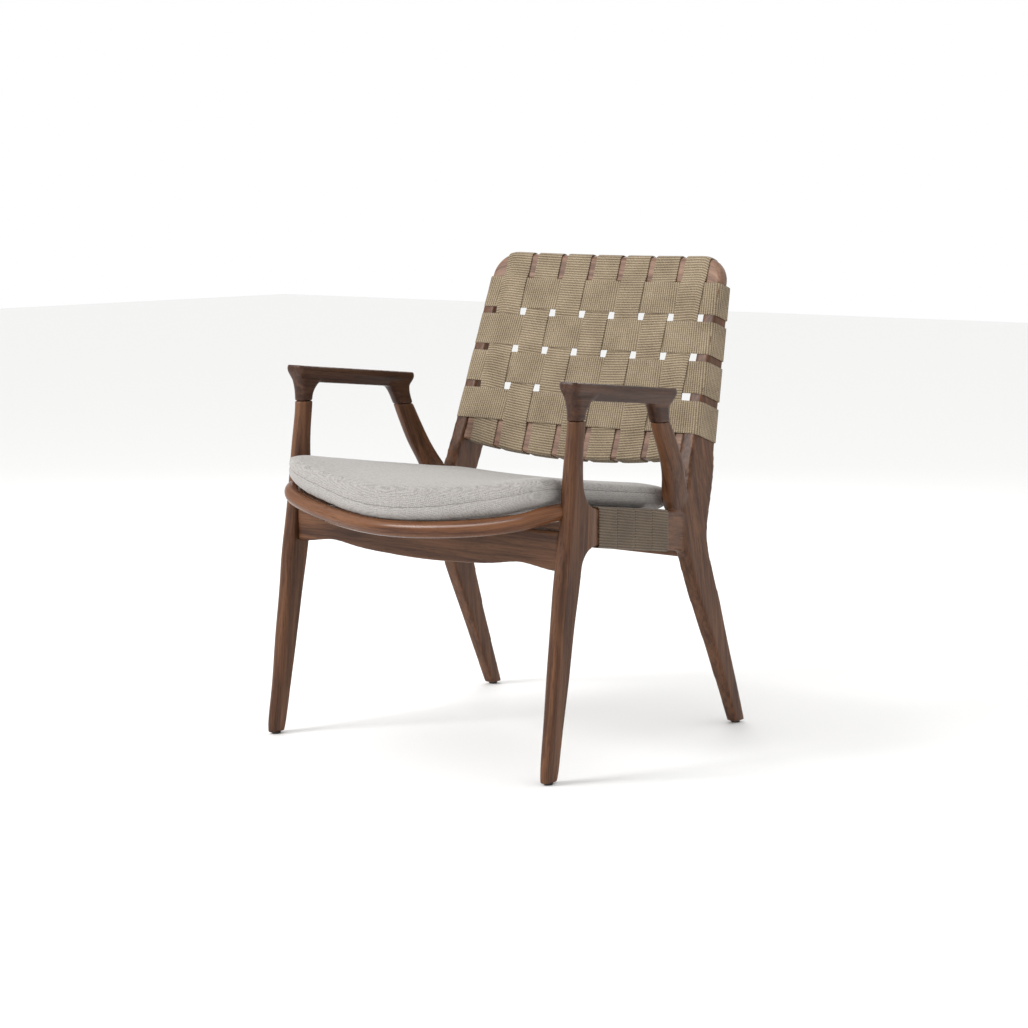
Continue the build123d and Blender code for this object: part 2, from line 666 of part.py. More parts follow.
# ------------------------------------------------------------------ the whole chair
def whole_chair():
    """Every piece by name, with holes bored for its dowels and staples."""
    leg = rear_leg()
    front = front_leg()
    apron = front_apron() - front - mirrored(front)
    rail = side_rail()
    bar = front_bar()
    pieces = {
        "front_leg": front,
        "rear_leg": leg,
        "arm_strut": arm_strut(leg) - rail,
        "armrest": armrest(),
        "side_rail": rail,
    }
    bores = [hole for group in dowel_groups(dowel_fit).values() for hole in group]
    back_wires = back_staples()
    seat_wires = seat_staples()
    pins = [glide(x, y) for x, y in glide_places]
    found = {}
    for name, piece in pieces.items():
        for hole in bores:
            piece = piece - hole
        for wire in back_wires + seat_wires + pins:
            piece = piece - wire
        found[name + "_left"] = piece
        found[name + "_right"] = mirrored(piece)
    middles = {
        "front_apron": apron,
        "front_bar": bar,
        "rear_rail": rear_rail() - leg - mirrored(leg),
        "back_top_rail": back_top_rail(),
        "back_bottom_rail": back_bottom_rail() - leg - mirrored(leg),
    }
    for name, piece in middles.items():
        for hole in bores:
            piece = piece - hole - mirrored(hole)
        for wire in back_wires:
            piece = piece - wire
        found[name] = piece
    for upright in range(upright_count):
        found["back_upright_strap_" + str(upright + 1)] = back_upright(upright)
    for cross in range(cross_count):
        found["back_cross_strap_" + str(cross + 1)] = back_cross(cross)
    for number in range(seat_strap_count):
        found["seat_strap_" + str(number + 1)] = seat_strap(number)
    for name in found:
        if "_strap_" in name:
            for wire in (seat_wires if name.startswith("seat") else back_wires):
                found[name] = found[name] - wire
    cover = cushion_slab(0, front_bar(bar_wide + 1))
    hollow = cushion_slab(cover_thick, front_bar(bar_wide + 1 + 2 * cover_thick))
    foam_gap = cover_thick + 0.2
    found["cushion_cover"] = cover - hollow
    found["cushion_foam"] = cushion_slab(foam_gap, front_bar(bar_wide + 1 + 2 * foam_gap))
    found["cushion_zip"] = Pos(0, 424.6, 404) * Box(380, 0.8, 7)
    for number, pin in enumerate(pins):
        end = "front" if number == 0 else "rear"
        found["glide_" + end + "_left"] = pin
        found["glide_" + end + "_right"] = mirrored(pin)
    for name, group in dowel_groups(0).items():
        found[name] = Compound(children=group + [mirrored(one) for one in group])
    found["back_staples"] = Compound(children=back_wires)
    found["seat_staples"] = Compound(children=seat_wires)
    return found


os.makedirs("parts", exist_ok=True)
chair = whole_chair()
for name, piece in chair.items():
    export_step(Pos(0, -middle_depth, 0) * piece, "parts/" + name + ".step")
everything = Compound(children=[Pos(0, -middle_depth, 0) * piece for piece in chair.values()])
box = everything.bounding_box()
print(len(chair), "nodes; size", [round(v, 1) for v in box.size])
print("low", [round(v, 2) for v in box.min], "high", [round(v, 2) for v in box.max])
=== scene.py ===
# %% [markdown]
# # A walnut armchair with a webbing back
#
# The chair is a frame of solid walnut: two pairs of legs, two arms that grow out of them, rails
# between them and one round bar in front. Jute webbing is woven over the back and slung between
# the side rails, and a loose cushion lies on the seat. The frame file already holds every piece
# at its true size and place. Here each piece gets the shape and finish that a maker would give
# it: rounded edges and grain for the wood, ribs and selvedges for the straps, seams for the
# cushion. All lengths are metres, so millimetres are multiplied by `MM`.

# %% Load the frame
import math
import bpy
import bmesh
import numpy as np
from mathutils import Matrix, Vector
from mathutils.bvhtree import BVHTree
from mathutils.kdtree import KDTree


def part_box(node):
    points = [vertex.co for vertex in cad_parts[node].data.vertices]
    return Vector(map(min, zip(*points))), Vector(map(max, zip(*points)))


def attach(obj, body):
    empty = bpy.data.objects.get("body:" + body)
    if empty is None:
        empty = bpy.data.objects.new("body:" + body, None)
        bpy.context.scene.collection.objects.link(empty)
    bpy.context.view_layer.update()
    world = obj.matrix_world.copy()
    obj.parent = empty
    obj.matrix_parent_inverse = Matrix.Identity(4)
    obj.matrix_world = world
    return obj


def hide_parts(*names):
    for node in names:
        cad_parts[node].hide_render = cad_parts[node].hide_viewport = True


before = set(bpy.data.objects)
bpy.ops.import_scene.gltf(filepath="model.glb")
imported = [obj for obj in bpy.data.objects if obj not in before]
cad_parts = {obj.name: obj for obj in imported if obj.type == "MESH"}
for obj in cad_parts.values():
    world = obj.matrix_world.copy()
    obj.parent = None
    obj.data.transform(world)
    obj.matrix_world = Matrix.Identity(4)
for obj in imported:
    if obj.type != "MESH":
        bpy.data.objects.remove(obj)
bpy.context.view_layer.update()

MM = 0.001

# %% [markdown]
# ## Colours, nodes and objects
#
# A listed colour is an sRGB value, but shaders count in linear light, so one function
# turns a hex value into linear numbers. Material and geometry trees are both made of nodes, and
# one small function adds any of them with its settings and its links. Two more put a finished
# mesh, light or camera into the scene.

# %% Helpers
def linear(hex_colour):
    """An sRGB hex colour as linear RGBA."""
    channels = [int(hex_colour[i:i + 2], 16) / 255 for i in (1, 3, 5)]
    return [c / 12.92 if c <= 0.04045 else ((c + 0.055) / 1.055) ** 2.4 for c in channels] + [1.0]


def add(tree, kind, links=None, **settings):
    """Adds one node. links maps an input's name or number to a socket or to a plain value."""
    node = tree.nodes.new(kind)
    for name, value in settings.items():
        setattr(node, name, value)
    for name, source in (links or {}).items():
        if isinstance(source, bpy.types.NodeSocket):
            tree.links.new(source, node.inputs[name])
        else:
            node.inputs[name].default_value = source
    return node


def new_material(name):
    """An empty node material and its tree."""
    material = bpy.data.materials.new(name)
    material.use_nodes = True
    material.node_tree.nodes.clear()
    return material, material.node_tree


def ramp(tree, value, stops):
    """A colour ramp whose stops are (place, linear colour) pairs."""
    node = add(tree, "ShaderNodeValToRGB", {0: value})
    while len(node.color_ramp.elements) < len(stops):
        node.color_ramp.elements.new(0.5)
    for element, (place, colour) in zip(node.color_ramp.elements, stops):
        element.position = place
        element.color = colour
    return node.outputs[0]


def weighted(tree, parts, start=0.0):
    """The sum of a start and of each part times its weight."""
    total = start
    for part, weight in parts:
        total = add(tree, "ShaderNodeMath", {0: part, 1: weight, 2: total},
                    operation="MULTIPLY_ADD").outputs[0]
    return total


def wave(tree, distance, length):
    """A cosine wave of a distance, with one turn in a length."""
    turn = add(tree, "ShaderNodeMath", {0: distance, 1: 2 * math.pi / length},
               operation="MULTIPLY")
    return add(tree, "ShaderNodeMath", {0: turn.outputs[0]}, operation="COSINE").outputs[0]


def linked(name, data):
    """An object in the scene for some mesh, curve, light or camera."""
    thing = bpy.data.objects.new(name, data)
    bpy.context.scene.collection.objects.link(thing)
    return thing


def mesh_object(name, shape):
    """An object whose mesh is the given bmesh, which is used up."""
    mesh = bpy.data.meshes.new(name)
    shape.to_mesh(mesh)
    shape.free()
    return linked(name, mesh)


# %% [markdown]
# ## Walnut
#
# Black walnut planed, sanded and oiled: a mid to dark brown with darker growth bands a few
# millimetres wide, hair-fine pores that run with the grain, and a low satin sheen that shows as
# a soft light along every rounded edge. The grain runs along each board, so every wooden piece
# carries an attribute `grain` that holds the place in its own board: along, across and through.
# Stretching noise along the first of them gives streaks that never slide over the surface.

# %% Oiled walnut
def walnut(name, dark, middle, light, roughness):
    """Oiled walnut: bands, streaks and pores along the board's own length."""
    material, tree = new_material(name)
    grain = add(tree, "ShaderNodeAttribute", attribute_name="grain").outputs["Vector"]

    def streaks(length, width, detail, distortion=0.0):
        """Noise stretched to streaks of a length and width in millimetres."""
        scale = (1 / (length * MM), 1 / (width * MM), 1 / (width * MM))
        place = add(tree, "ShaderNodeMapping", {"Vector": grain, "Scale": scale})
        return add(tree, "ShaderNodeTexNoise",
                   {"Vector": place.outputs[0], "Scale": 1.0, "Detail": detail,
                    "Distortion": distortion}).outputs[0]

    bands = streaks(260, 15, 2.0, 0.6)
    fine = streaks(90, 3.0, 3.0, 0.3)
    pores = streaks(22, 1.1, 2.0)       # real pores are 0.2 mm wide, drawn coarse enough to show
    both = weighted(tree, [(bands, 0.62), (fine, 0.38)])
    colour = ramp(tree, both, [(0.34, linear(dark)), (0.50, linear(middle)),
                               (0.66, linear(light))])
    open_pore = ramp(tree, pores, [(0.33, (0.62, 0.60, 0.58, 1)), (0.44, (1, 1, 1, 1))])
    tinted = add(tree, "ShaderNodeMix", {0: 1.0, 6: colour, 7: open_pore},
                 data_type="RGBA", blend_type="MULTIPLY").outputs[2]
    rough = add(tree, "ShaderNodeMapRange",
                {"Value": fine, "To Min": roughness + 0.08, "To Max": roughness - 0.06})
    relief = add(tree, "ShaderNodeMath", {0: pores, 1: fine}, operation="ADD")
    bump = add(tree, "ShaderNodeBump",
               {"Height": relief.outputs[0], "Strength": 0.16, "Distance": 0.25 * MM})
    shader = add(tree, "ShaderNodeBsdfPrincipled",
                 {"Base Color": tinted, "Roughness": rough.outputs[0],
                  "Normal": bump.outputs[0], "IOR": 1.45, "Specular IOR Level": 0.3})
    add(tree, "ShaderNodeOutputMaterial", {"Surface": shader.outputs[0]})
    return material


oiled_walnut = walnut("oiled_walnut", "#3a2114", "#563723", "#6d4931", 0.38)
arm_walnut = walnut("oiled_walnut_heart", "#2a1810", "#40271a", "#523626", 0.34)
bar_walnut = walnut("oiled_walnut_satin", "#45281a", "#674128", "#754e35", 0.24)
rail_walnut = walnut("oiled_walnut_pale", "#5a4033", "#7c5e4c", "#92735f", 0.42)
print("walnut finishes:", [m.name for m in (oiled_walnut, arm_walnut, bar_walnut, rail_walnut)])

# %% [markdown]
# ## Turning a joiner's blank into a finished part
#
# A maker saws each part from a board and then rounds its edges with a rasp and paper. The same
# is done here: the part's mesh is copied, its loose triangles are merged, and a voxel remesh
# gives an even skin that a few rounds of smoothing wear down at the edges and nowhere else. A
# bevel would need clean long edges, which a part cut by its neighbours doesn't have.

# %% Rounding wood
WOOD_VOXEL = 2.0 * MM
RAIL_ROUNDS, ARM_ROUNDS, FORK_ROUNDS = 6, 9, 22      # rounds of smoothing: more is rounder
BEND_STEP = 8 * MM             # the middle of a bent board is found once in this length
BOARD_SHIFT = 0.731            # metres of grain between one board and the next


def merged_copy(name, nodes):
    """One object that holds copies of some nodes' meshes, each one closed."""
    joined = bmesh.new()
    for node in nodes:
        joined.from_mesh(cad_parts[node].data)
    bmesh.ops.remove_doubles(joined, verts=joined.verts, dist=0.005 * MM)
    return mesh_object(name, joined)


def bake_modifiers(piece):
    """Replaces an object's mesh by what its modifiers make of it."""
    graph = bpy.context.evaluated_depsgraph_get()
    mesh = bpy.data.meshes.new_from_object(piece.evaluated_get(graph))
    piece.modifiers.clear()
    old = piece.data
    piece.data = mesh
    bpy.data.meshes.remove(old)


def remesh(piece, voxel, rounds):
    """An even skin of voxel-sized faces, with its edges worn round."""
    skin = piece.modifiers.new("skin", "REMESH")
    skin.mode = "VOXEL"
    skin.voxel_size = voxel
    wear = piece.modifiers.new("wear", "SMOOTH")
    wear.factor = 0.5
    wear.iterations = rounds
    bake_modifiers(piece)
    piece.data.shade_smooth()


def points_of(piece):
    """The vertices of a mesh as rows of x, y, z."""
    flat = np.zeros(len(piece.data.vertices) * 3, np.float32)
    piece.data.vertices.foreach_get("co", flat)
    return flat.reshape(-1, 3)


def set_points(piece, points):
    piece.data.vertices.foreach_set("co", points.astype(np.float32).ravel())
    piece.data.update()


def store(piece, name, kind, values):
    """Writes one value per vertex as an attribute."""
    layer = piece.data.attributes.new(name, kind, "POINT")
    field = "vector" if kind == "FLOAT_VECTOR" else "value"
    layer.data.foreach_set(field, np.asarray(values, np.float32).ravel())


def board_grain(piece, along, seed, bent=False):
    """Stores each vertex's place in its board. along is one axis, or one for each vertex."""
    points = points_of(piece).astype(float)
    axis = np.atleast_2d(np.array(along, float))
    axis = axis / np.linalg.norm(axis, axis=1, keepdims=True)
    side = np.cross(axis, (0.3, 0.2, 0.93) if abs(axis[0][2]) < 0.5 else (1, 0.1, 0))
    side = side / np.linalg.norm(side, axis=1, keepdims=True)
    other = np.cross(axis, side)
    length = (points * axis).sum(axis=1)
    across = np.stack([(points * side).sum(axis=1), (points * other).sum(axis=1)], axis=1)
    if bent:
        step = ((length - length.min()) / BEND_STEP).astype(int)
        count = np.maximum(np.bincount(step), 1)
        for column in range(2):
            middle = np.bincount(step, across[:, column]) / count
            places = length.min() + (np.arange(len(middle)) + 0.5) * BEND_STEP
            across[:, column] -= np.interp(length, places, middle)
    shift = seed * BOARD_SHIFT
    store(piece, "grain", "FLOAT_VECTOR",
          np.column_stack([length + shift, across[:, 0] + shift, across[:, 1] - shift]))


def wooden_part(name, nodes, along, finish, seed, rounds=RAIL_ROUNDS, bent=False):
    """A finished wooden part that stands for some of the frame's nodes."""
    piece = merged_copy(name, nodes)
    remesh(piece, WOOD_VOXEL, rounds)
    board_grain(piece, along, seed, bent)
    piece.data.materials.clear()
    piece.data.materials.append(finish)
    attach(piece, "frame")
    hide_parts(*nodes)
    print(name, len(piece.data.polygons), "faces")
    return piece


# %% [markdown]
# ## Legs, arms and rails
#
# The rear leg and the strut that carries the arm are glued and then shaped as one fork, so they
# become one part here. The arms are cut from darker heartwood, and the joint with each leg
# stays a fine line. The round front bar is bent, so its grain follows its curve.

# %% A fork glued from three boards
JOINT_BLEND = 15 * MM          # the shaped hollow between strut and leg reaches this far
JOINT_ROUNDS = 110


def shaped_fork(name, side, seed):
    """Rear leg, strut and side rail as one shaped piece, each with its own board's grain."""
    boards = {"rear_leg_" + side: (0, -0.12, 1), "arm_strut_" + side: (0, -0.42, 0.91),
              "side_rail_" + side: (0, 1, -0.13)}
    piece = merged_copy(name, boards)
    remesh(piece, WOOD_VOXEL, FORK_ROUNDS)
    graph = bpy.context.evaluated_depsgraph_get()
    skins = [BVHTree.FromObject(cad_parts[node], graph) for node in boards]
    away = np.array([[skin.find_nearest(point)[3] for skin in skins]
                     for point in map(Vector, points_of(piece))])
    nearest = away.argmin(axis=1)
    second = np.sort(away, axis=1)[:, 1]
    joint = piece.vertex_groups.new(name="joint")         # where leg and strut meet
    for number in np.nonzero((second < JOINT_BLEND) & (nearest < 2))[0]:
        joint.add([int(number)], float(1 - second[number] / JOINT_BLEND), "REPLACE")
    wear = piece.modifiers.new("wear", "SMOOTH")
    wear.iterations = JOINT_ROUNDS
    wear.vertex_group = "joint"
    bake_modifiers(piece)
    piece.vertex_groups.clear()
    piece.data.shade_smooth()
    board_grain(piece, [list(boards.values())[i] for i in nearest], seed)
    piece.data.materials.clear()
    piece.data.materials.append(oiled_walnut)
    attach(piece, "frame")
    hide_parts(*boards)
    print(name, len(piece.data.polygons), "faces")
    return piece


# %% The walnut frame
for number, side in enumerate(("left", "right")):
    wooden_part("walnut_front_leg_" + side, ["front_leg_" + side], (0, 0.08, 1),
                oiled_walnut, 1 + number)
    shaped_fork("walnut_rear_fork_" + side, side, 3 + number)
    wooden_part("walnut_arm_" + side, ["armrest_" + side], (0, 1, -0.1), arm_walnut, 5 + number,
                rounds=ARM_ROUNDS)

wooden_part("walnut_apron", ["front_apron"], (1, 0, 0), oiled_walnut, 9)
wooden_part("walnut_rear_rail", ["rear_rail"], (1, 0, 0), oiled_walnut, 10)
wooden_part("walnut_top_rail", ["back_top_rail"], (1, 0, 0), rail_walnut, 11, bent=True)
wooden_part("walnut_bottom_rail", ["back_bottom_rail"], (1, 0, 0), rail_walnut, 12, bent=True)

# %% [markdown]
# The front bar is steam-bent from one round rod. A ring of points is carried along a smooth
# line through a few places on its middle, and each ring turns with the line. The grain then
# follows the bend: the distance run along the line is the length of the board.

# %% The bent front bar
BAR_WIDE = 28.0
BAR_MIDDLE = (0, -316, 393.7)
BAR_HALF = [(285.5, -208.6, 432.5), (277, -237.6, 430.4), (266, -254.8, 425.5),
            (248.5, -264.9, 417.9), (190, -282, 406.7), (138.7, -294.5, 400.7),
            (88.9, -305.4, 396.6), (43, -313.1, 394.4)]


def bent_bar(name, node, rings=150, sides=40):
    """A round rod along a smooth line through the bar's middle places."""
    route = BAR_HALF + [BAR_MIDDLE] + [(-x, y, z) for x, y, z in BAR_HALF[::-1]]
    curve = bpy.data.curves.new(name, "CURVE")
    curve.dimensions = "3D"
    spline = curve.splines.new("NURBS")
    spline.points.add(len(route) - 1)
    for point, place in zip(spline.points, route):
        point.co = [v * MM for v in place] + [1]
    spline.order_u = 3
    spline.use_endpoint_u = True
    spline.resolution_u = 12
    holder = linked(name + "_line", curve)
    graph = bpy.context.evaluated_depsgraph_get()
    line = bpy.data.meshes.new_from_object(holder.evaluated_get(graph))
    middle = np.array([v.co for v in line.vertices])
    bpy.data.objects.remove(holder)
    run = np.concatenate([[0], np.cumsum(np.linalg.norm(np.diff(middle, axis=0), axis=1))])
    stations = np.linspace(0, run[-1], rings)
    middle = np.column_stack([np.interp(stations, run, middle[:, i]) for i in range(3)])
    ahead = np.gradient(middle, axis=0)
    ahead /= np.linalg.norm(ahead, axis=1, keepdims=True)
    level = np.cross(ahead, (0, 0, 1))
    level /= np.linalg.norm(level, axis=1, keepdims=True)
    upward = np.cross(level, ahead)
    rod = bmesh.new()
    grain, hoops = [], []
    for place, side, up, distance in zip(middle, level, upward, stations):
        hoop = []
        for turn in range(sides):
            angle = 2 * math.pi * turn / sides
            out = (math.cos(angle) * BAR_WIDE / 2 * MM, math.sin(angle) * BAR_WIDE / 2 * MM)
            hoop.append(rod.verts.new(place + side * out[0] + up * out[1]))
            grain.append((distance, out[0], out[1]))
        hoops.append(hoop)
    for low, high in zip(hoops, hoops[1:]):
        for i in range(sides):
            j = (i + 1) % sides
            rod.faces.new((low[i], low[j], high[j], high[i]))
    rod.faces.new(hoops[0])
    rod.faces.new(hoops[-1][::-1])
    bmesh.ops.recalc_face_normals(rod, faces=rod.faces)
    piece = mesh_object(name, rod)
    store(piece, "grain", "FLOAT_VECTOR", grain)
    piece.data.materials.append(bar_walnut)
    piece.data.shade_smooth()
    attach(piece, "frame")
    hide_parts(node)
    print(name, len(piece.data.polygons), "faces from", points_of(piece).min(0).round(4),
          "node from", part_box(node)[0])


bent_bar("walnut_front_bar", "front_bar")

# %% [markdown]
# ## Jute webbing
#
# Webbing is a narrow cloth: stout jute wefts pass to and fro over warp threads, so the surface
# is a row of fine ribs across the strap, closed at both sides by a selvedge. It is tan, matt and
# a little hairy; shade is painted into the valleys where the threads turn under, and painted
# light onto the rib crests. The ribs are real geometry; the material adds the threads inside
# each rib. Two attributes carry the pattern: `along` is the distance down the strap and
# `across` runs from edge to edge.

# %% The webbing's finish
RIB = 4.6 * MM                 # one rib of weft, edge to edge
WARP = 3.4 * MM                # real warps are 1.5 mm apart, drawn coarse enough to show


def jute(name, dark, middle, light):
    """Woven jute: weft ribs broken by crossing warps, with painted shade in the rib valleys."""
    material, tree = new_material(name)
    along = add(tree, "ShaderNodeAttribute", attribute_name="along").outputs["Fac"]
    across = add(tree, "ShaderNodeAttribute", attribute_name="across").outputs["Fac"]
    place = add(tree, "ShaderNodeTexCoord").outputs["Object"]
    # painted shade in the rib valleys and painted light on the crests, in step with the raised
    # ribs
    rib_shading = wave(tree, along, RIB)
    warp = wave(tree, across, WARP)
    fibre = add(tree, "ShaderNodeTexNoise",
                {"Vector": place, "Scale": 1 / (1.6 * MM), "Detail": 3.0}).outputs[0]
    patch = add(tree, "ShaderNodeTexNoise",
                {"Vector": place, "Scale": 1 / (45 * MM), "Detail": 1.0}).outputs[0]
    level = weighted(tree, [(rib_shading, 0.17), (warp, 0.05), (fibre, 0.55), (patch, 0.22)], 0.08)
    colour = ramp(tree, level, [(0.16, linear(dark)), (0.48, linear(middle)),
                                (0.80, linear(light))])
    height = weighted(tree, [(warp, 0.35)], fibre)
    bump = add(tree, "ShaderNodeBump",
               {"Height": height, "Strength": 0.55, "Distance": 0.5 * MM})
    shader = add(tree, "ShaderNodeBsdfPrincipled",
                 {"Base Color": colour, "Roughness": 0.86, "Normal": bump.outputs[0],
                  "Specular IOR Level": 0.25, "Sheen Weight": 0.12, "Sheen Roughness": 0.5})
    add(tree, "ShaderNodeOutputMaterial", {"Surface": shader.outputs[0]})
    return material


jute_webbing = jute("woven_jute", "#4c3f31", "#8f7f68", "#bcac93")
# A darker copy of the webbing for the seat straps: painted shade for their wraps on the side
# rails' shaded outer faces.
seat_jute_shaded = jute("woven_jute_seat", "#382d23", "#635444", "#80705d")
print("webbing finishes:", jute_webbing.name, seat_jute_shaded.name)

# %% [markdown]
# ## A strap as a sheet with ribs
#
# Each strap starts as a flat grid that follows its real route: several lines side by side, one
# for each place across its width, so that it can lie on a curved rail. A Geometry Nodes tree
# then lifts every vertex along its normal by a wave of the distance down the strap, which makes
# the ribs, and Solidify gives the cloth its thickness. The tree takes the rib's length and
# height as inputs, so one tree serves every strap.

# %% The rib tree
def rib_tree():
    """Geometry Nodes: ribs across a sheet that knows its distance along the strap."""
    tree = bpy.data.node_groups.new("webbing_ribs", "GeometryNodeTree")
    face = tree.interface
    face.new_socket("Geometry", in_out="INPUT", socket_type="NodeSocketGeometry")
    face.new_socket("Rib Length", in_out="INPUT", socket_type="NodeSocketFloat")
    face.new_socket("Rib Height", in_out="INPUT", socket_type="NodeSocketFloat")
    face.new_socket("Webbing", in_out="INPUT", socket_type="NodeSocketMaterial")
    face.new_socket("Geometry", in_out="OUTPUT", socket_type="NodeSocketGeometry")
    given = add(tree, "NodeGroupInput").outputs
    along = add(tree, "GeometryNodeInputNamedAttribute", {"Name": "along"}, data_type="FLOAT")
    edge = add(tree, "GeometryNodeInputNamedAttribute", {"Name": "selvedge"}, data_type="FLOAT")
    turns = add(tree, "ShaderNodeMath", {0: along.outputs[0], 1: given["Rib Length"]},
                operation="DIVIDE")
    phase = add(tree, "ShaderNodeMath", {0: turns.outputs[0], 1: 2 * math.pi},
                operation="MULTIPLY")
    ripple = add(tree, "ShaderNodeMath", {0: phase.outputs[0]}, operation="COSINE")
    calm = add(tree, "ShaderNodeMath", {0: ripple.outputs[0], 1: edge.outputs[0]},
               operation="MULTIPLY")
    lift = add(tree, "ShaderNodeMath", {0: calm.outputs[0], 1: given["Rib Height"]},
               operation="MULTIPLY")
    normal = add(tree, "GeometryNodeInputNormal")
    offset = add(tree, "ShaderNodeVectorMath", {0: normal.outputs[0]}, operation="SCALE")
    tree.links.new(lift.outputs[0], offset.inputs["Scale"])
    moved = add(tree, "GeometryNodeSetPosition",
                {"Geometry": given["Geometry"], "Offset": offset.outputs[0]})
    real = add(tree, "GeometryNodeRealizeInstances", {0: moved.outputs[0]})
    painted = add(tree, "GeometryNodeSetMaterial",
                  {"Geometry": real.outputs[0], "Material": given["Webbing"]})
    add(tree, "NodeGroupOutput", {0: painted.outputs[0]})
    return tree


def give_inputs(modifier, **values):
    """Sets a tree's named inputs by their socket identifiers."""
    for item in modifier.node_group.interface.items_tree:
        key = item.name.replace(" ", "_")
        if item.item_type == "SOCKET" and item.in_out == "INPUT" and key in values:
            modifier[item.identifier] = values[key]


ribs = rib_tree()
print("rib tree:", len(ribs.nodes), "nodes")

# %% [markdown]
# A route is a few points with a rounding at each. `rounded` turns the corners into smooth
# curves and divides the line into equal steps, so that the ribs stay even round every bend.

# %% Routes and strap sheets
STRAP_STEP = RIB / 6           # six steps show one rib as a smooth wave
STRAP_THICK = 1.5 * MM
RIB_HEIGHT = 0.42 * MM
SELVEDGE_CALM = 0.35           # share of the rib's height that is left at a selvedge
ACROSS = (0.0, 0.035, 0.2, 0.4, 0.6, 0.8, 0.965, 1.0)     # the places across a strap's width


def rounded(route):
    """A dense line through (place, place, rounding) points, in millimetres."""
    line = [np.array(route[0][:2], float)]
    for before, corner, after in zip(route, route[1:], route[2:]):
        here = np.array(corner[:2], float)
        back = np.array(before[:2], float) - here
        ahead = np.array(after[:2], float) - here
        cut = min(corner[2], 0.48 * np.hypot(*back), 0.48 * np.hypot(*ahead))
        start = here + back / np.hypot(*back) * cut
        end = here + ahead / np.hypot(*ahead) * cut
        for t in np.linspace(0, 1, 9):
            line.append((1 - t) ** 2 * start + 2 * t * (1 - t) * here + t ** 2 * end)
    line.append(np.array(route[-1][:2], float))
    return np.array(line)


def even_steps(line, count):
    """The same line as count points with equal distances between them."""
    run = np.concatenate([[0], np.cumsum(np.hypot(*np.diff(line, axis=0).T))])
    wanted = np.linspace(0, run[-1], count)
    return np.column_stack([np.interp(wanted, run, line[:, i]) for i in (0, 1)]), run[-1]


def sheet(name, rows, outward):
    """A grid through rows of points, faced one way or the other."""
    grid = bmesh.new()
    lines = [[grid.verts.new(point) for point in row] for row in rows]
    for low, high in zip(lines, lines[1:]):
        for i in range(len(low) - 1):
            corners = (low[i], low[i + 1], high[i + 1], high[i])
            grid.faces.new(corners if outward else reversed(corners))
    return mesh_object(name, grid)


def thicken(piece, thickness):
    """Gives a sheet its thickness, half to each side, and bakes all its modifiers."""
    cloth = piece.modifiers.new("cloth", "SOLIDIFY")
    cloth.thickness = thickness
    cloth.offset = 0.0
    bake_modifiers(piece)


def strap(name, node, width, route_at, place, outward, finish=jute_webbing):
    """A ribbed strap; route_at(share) is its route at a share of its width."""
    lines = [rounded(route_at(share)) for share in ACROSS]
    length = np.mean([even_steps(line, 2)[1] for line in lines]) * MM
    count = int(length / STRAP_STEP)
    rows = [[Vector(place(a, b, share)) * MM for a, b in even_steps(line, count)[0]]
            for share, line in zip(ACROSS, lines)]
    piece = sheet(name, rows, outward)
    store(piece, "along", "FLOAT", np.tile(np.linspace(0, length, count), len(ACROSS)))
    store(piece, "across", "FLOAT", np.repeat(np.array(ACROSS) * width * MM, count))
    calm = [SELVEDGE_CALM if share in (ACROSS[0], ACROSS[-1]) else 1.0 for share in ACROSS]
    store(piece, "selvedge", "FLOAT", np.repeat(calm, count))
    waves = piece.modifiers.new("ribs", "NODES")
    waves.node_group = ribs
    give_inputs(waves, Rib_Length=RIB, Rib_Height=RIB_HEIGHT, Webbing=finish)
    thicken(piece, STRAP_THICK)
    piece.data.shade_smooth()
    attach(piece, "frame")
    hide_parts(node)
    return piece


# %% [markdown]
# ## The woven back
#
# The back has its own slope: `up` runs along it and `behind` goes through it. Seven upright
# straps go round the bottom rail and over the top rail, and four cross straps go round both
# posts. Where an upright passes in front of one cross strap it passes behind the next. The
# sizes are those of the frame, and each strap's reach along one axis is printed beside that of
# its node.

# %% Sizes of the back
LEAN = math.radians(19.1)               # slope of the back from the vertical
FOOT = (185.4, 514.0)                   # y and z where up and behind are zero
BACK_HALF = 241.5                       # half the width between the posts
BACK_BOW = 9.0                          # how far the middle bows rearwards
POST_THICK = 26.5
POST_OUT, POST_BASE, POST_LEAN = 268.6, 500.0, 0.045    # outer face, at a height, per mm up
POST_DEEP_LOW, POST_DEEP_TOP, POST_LONG = 64.5, 32.0, 277.0
LOW_EDGE, LOW_EDGE_RISE = -46.0, 17.0   # lower edge of the bottom rail, and its rise outwards
UPRIGHTS, UPRIGHT_WIDE, UPRIGHT_PITCH = 7, 52.5, 66.0
CROSSES, CROSS_WIDE, CROSS_PITCH, CROSS_LOW = 4, 57.5, 70.9, 10.6
BACK_TOP, SHOULDER = 330.0, 48.0
TOP_RAIL = (1.2, 27.2, 48.0)            # front face, rear face, height
LOW_RAIL = (2.0, 26.0, 14.0)            # front face, rear face, upper edge
CLOTH, AIR = 2.2, 0.15                  # room for one strap, and between two
WEAVE = (CLOTH + AIR) / 2
SHEET = -(WEAVE + CLOTH / 2 + AIR)
CLEAR = CLOTH / 2 + AIR


def bow(x):
    """How far the back lies rearwards at a distance from its middle."""
    return BACK_BOW * (1 - (x / BACK_HALF) ** 2)


def low_edge(x):
    """Lower edge of the bottom rail, which is deeper in the middle."""
    return LOW_EDGE + LOW_EDGE_RISE * (x / BACK_HALF) ** 2


def post_outside(up, behind):
    """Outer face of the post, which leans in a little as it rises."""
    z = FOOT[1] + up * math.cos(LEAN) - behind * math.sin(LEAN)
    return POST_OUT - POST_LEAN * (z - POST_BASE)


def post_deep(up):
    """Depth of the post, which tapers upwards."""
    return POST_DEEP_LOW + (POST_DEEP_TOP - POST_DEEP_LOW) * up / POST_LONG


